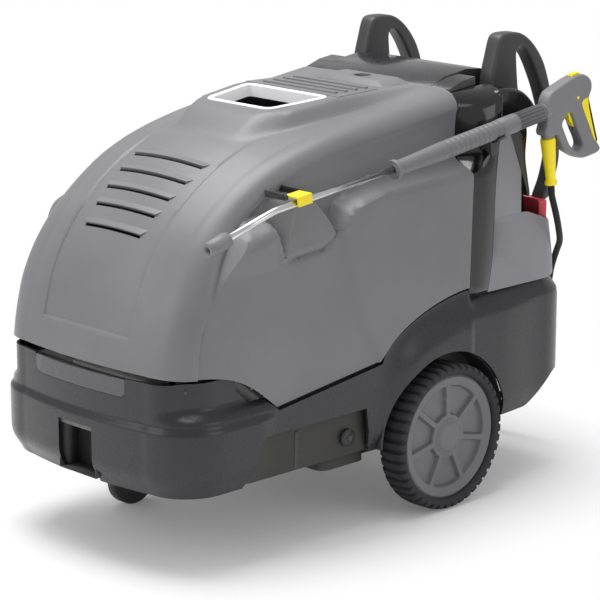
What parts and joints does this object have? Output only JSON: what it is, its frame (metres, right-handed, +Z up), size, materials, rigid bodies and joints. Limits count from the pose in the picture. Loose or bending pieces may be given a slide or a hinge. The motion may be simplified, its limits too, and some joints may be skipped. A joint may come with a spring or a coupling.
{
  "type": "pressure washer",
  "caption": "Mobile hot-water pressure washer with a tilting hood, wheeled moulded chassis, push handles, control panel, and a clipped spray lance with trigger gun and coiled hose.",
  "frame": {"origin": "on the floor, at the centre of the machine's length and width", "axes": "+Z up, the bumper faces -Y, the push handles are at +Y, the stored lance is on the +X side"},
  "size_m": [0.9697, 1.6623, 1.0598],
  "materials": {
    "chassis_plastic": "moulded, fine grain, satin",
    "hood_plastic": "moulded grey, satin sheen",
    "rear_plastic": "moulded light grey, satin",
    "black_gloss": "polished black",
    "black_matte": "fine grain",
    "handle_plastic": "soft grain",
    "red_lens": "translucent red lens",
    "frame_plastic": "light grey, satin",
    "yellow_plastic": "satin yellow",
    "grip_plastic": "soft grey",
    "lance_steel": "brushed stainless",
    "sheet_steel": "zinc-grey sheet",
    "boiler_steel": "satin stainless",
    "motor_paint": "cast, painted blue-grey",
    "pump_brass": "machined brass",
    "tank_plastic": "blow-moulded black",
    "clear_tank": "milky translucent",
    "blue_cap": "satin blue",
    "red_cap": "satin red",
    "tyre_rubber": "lugged rubber",
    "rim_plastic": "moulded grey",
    "castor_steel": "zinc plated",
    "gauge_face": "white face under a clear front",
    "panel_metal": "printed panel, satin",
    "lamp_green": "small green lamps",
    "hose_rubber": "smooth black"
  },
  "bodies": {
    "machine": {"chassis": "chassis_plastic", "deck": "sheet_steel", "rear_body": "rear_plastic", "side_panel_left": "rear_plastic", "side_panel_right": "rear_plastic", "column_left": "black_gloss", "column_right": "black_gloss", "console": "black_matte", "control_panel": "panel_metal", "handle_left": "handle_plastic", "handle_right": "handle_plastic", "rear_marker_left": "red_lens", "rear_marker_right": "red_lens", "pressure_gauge": "gauge_face", "indicator_lamps": "lamp_green", "boiler": "boiler_steel", "boiler_lid": "boiler_steel", "exhaust_stack": "boiler_steel", "burner_blower": "motor_paint", "motor": "motor_paint", "pump": "pump_brass", "float_tank": "clear_tank", "fuel_tank": "tank_plastic", "tank_plug": "black_matte", "detergent_tank": "clear_tank", "electrical_box": "sheet_steel", "axle": "castor_steel", "water_inlet": "pump_brass", "pressure_outlet": "castor_steel", "cable_gland": "black_matte", "lance_rest": "black_matte", "lance_tube": "lance_steel", "nozzle_sleeve": "grip_plastic", "lance_grip": "grip_plastic", "gun_body": "grip_plastic", "bend_protector": "yellow_plastic", "hose_drop": "hose_rubber", "hose_coil": "hose_rubber", "hose_return": "hose_rubber"},
    "hood": {"hood": "hood_plastic", "exhaust_frame": "frame_plastic", "top_cover": "hood_plastic", "hood_brackets": "sheet_steel"},
    "latch": {"hood_latch": "black_matte"},
    "catch": {"lance_catch": "yellow_plastic"},
    "flap": {"front_flap": "rear_plastic"},
    "wheel_left": {"tyre_left": "tyre_rubber", "rim_left": "rim_plastic"},
    "wheel_right": {"tyre_right": "tyre_rubber", "rim_right": "rim_plastic"},
    "castor_fork": {"castor_fork": "castor_steel"},
    "castor_wheel": {"castor_wheel": "black_matte"},
    "castor_brake": {"castor_brake": "red_cap"},
    "trigger": {"trigger": "yellow_plastic"},
    "safety_catch": {"safety_catch": "yellow_plastic"},
    "regulator": {"regulator_sleeve": "grip_plastic"},
    "main_switch": {"main_switch": "black_matte"},
    "dosing_knob": {"dosing_knob": "black_matte"},
    "fuel_cap": {"fuel_cap": "red_cap"},
    "detergent_cap": {"detergent_cap": "blue_cap"}
  },
  "joints": [
    {"name": "hood_hinge", "type": "hinge", "parent": "machine", "child": "hood", "pos_m": [0, -0.609, 0.459], "axis": [1, 0, 0], "range_deg": [0, 60]},
    {"name": "hood_latch_turn", "type": "hinge", "parent": "hood", "child": "latch", "pos_m": [0.015, 0.198, 0.955], "axis": [0, 0, 1], "range_deg": [0, 90]},
    {"name": "lance_catch_hinge", "type": "hinge", "parent": "hood", "child": "catch", "pos_m": [0.326, -0.32315, 0.80362], "axis": [0, 0.9945, 0.1045], "range_deg": [-100, 0]},
    {"name": "flap_hinge", "type": "hinge", "parent": "machine", "child": "flap", "pos_m": [0, -0.638, 0.42], "axis": [1, 0, 0], "range_deg": [-70, 0]},
    {"name": "wheel_left_spin", "type": "hinge", "parent": "machine", "child": "wheel_left", "pos_m": [0.319, 0.155, 0.171], "axis": [1, 0, 0], "continuous": true},
    {"name": "wheel_right_spin", "type": "hinge", "parent": "machine", "child": "wheel_right", "pos_m": [-0.319, 0.155, 0.171], "axis": [1, 0, 0], "continuous": true},
    {"name": "castor_swivel", "type": "hinge", "parent": "machine", "child": "castor_fork", "pos_m": [-0.194, -0.374, 0.19], "axis": [0, 0, 1], "continuous": true},
    {"name": "castor_roll", "type": "hinge", "parent": "castor_fork", "child": "castor_wheel", "pos_m": [-0.194, -0.344, 0.0625], "axis": [1, 0, 0], "continuous": true},
    {"name": "castor_brake_hinge", "type": "hinge", "parent": "castor_fork", "child": "castor_brake", "pos_m": [-0.194, -0.338, 0.1365], "axis": [1, 0, 0], "range_deg": [-8, 0]},
    {"name": "trigger_hinge", "type": "hinge", "parent": "machine", "child": "trigger", "pos_m": [0.349, 0.556, 0.912], "axis": [1, 0, 0], "range_deg": [0, 11], "stiffness_Nm_per_rad": 1.5},
    {"name": "safety_slide", "type": "slide", "parent": "machine", "child": "safety_catch", "axis": [0, 0.9903, 0.1392], "range_m": [0, 0.005]},
    {"name": "regulator_turn", "type": "hinge", "parent": "machine", "child": "regulator", "pos_m": [0.349, 0.3562, 0.87673], "axis": [0, 0.9905, 0.1376], "range_deg": [0, 180]},
    {"name": "main_switch_turn", "type": "hinge", "parent": "machine", "child": "main_switch", "pos_m": [0.075, 0.51586, 0.89463], "axis": [0, 0.7261, 0.6876], "range_deg": [-120, 0]},
    {"name": "dosing_turn", "type": "hinge", "parent": "machine", "child": "dosing_knob", "pos_m": [-0.01, 0.53098, 0.87865], "axis": [0, 0.7261, 0.6876], "range_deg": [-270, 0]},
    {"name": "fuel_cap_turn", "type": "hinge", "parent": "machine", "child": "fuel_cap", "pos_m": [0.262, -0.416, 0.365], "axis": [0, 0, 1], "range_deg": [0, 120]},
    {"name": "detergent_cap_turn", "type": "hinge", "parent": "machine", "child": "detergent_cap", "pos_m": [-0.167, -0.545, 0.422], "axis": [0, 0, 1], "range_deg": [0, 120]}
  ]
}
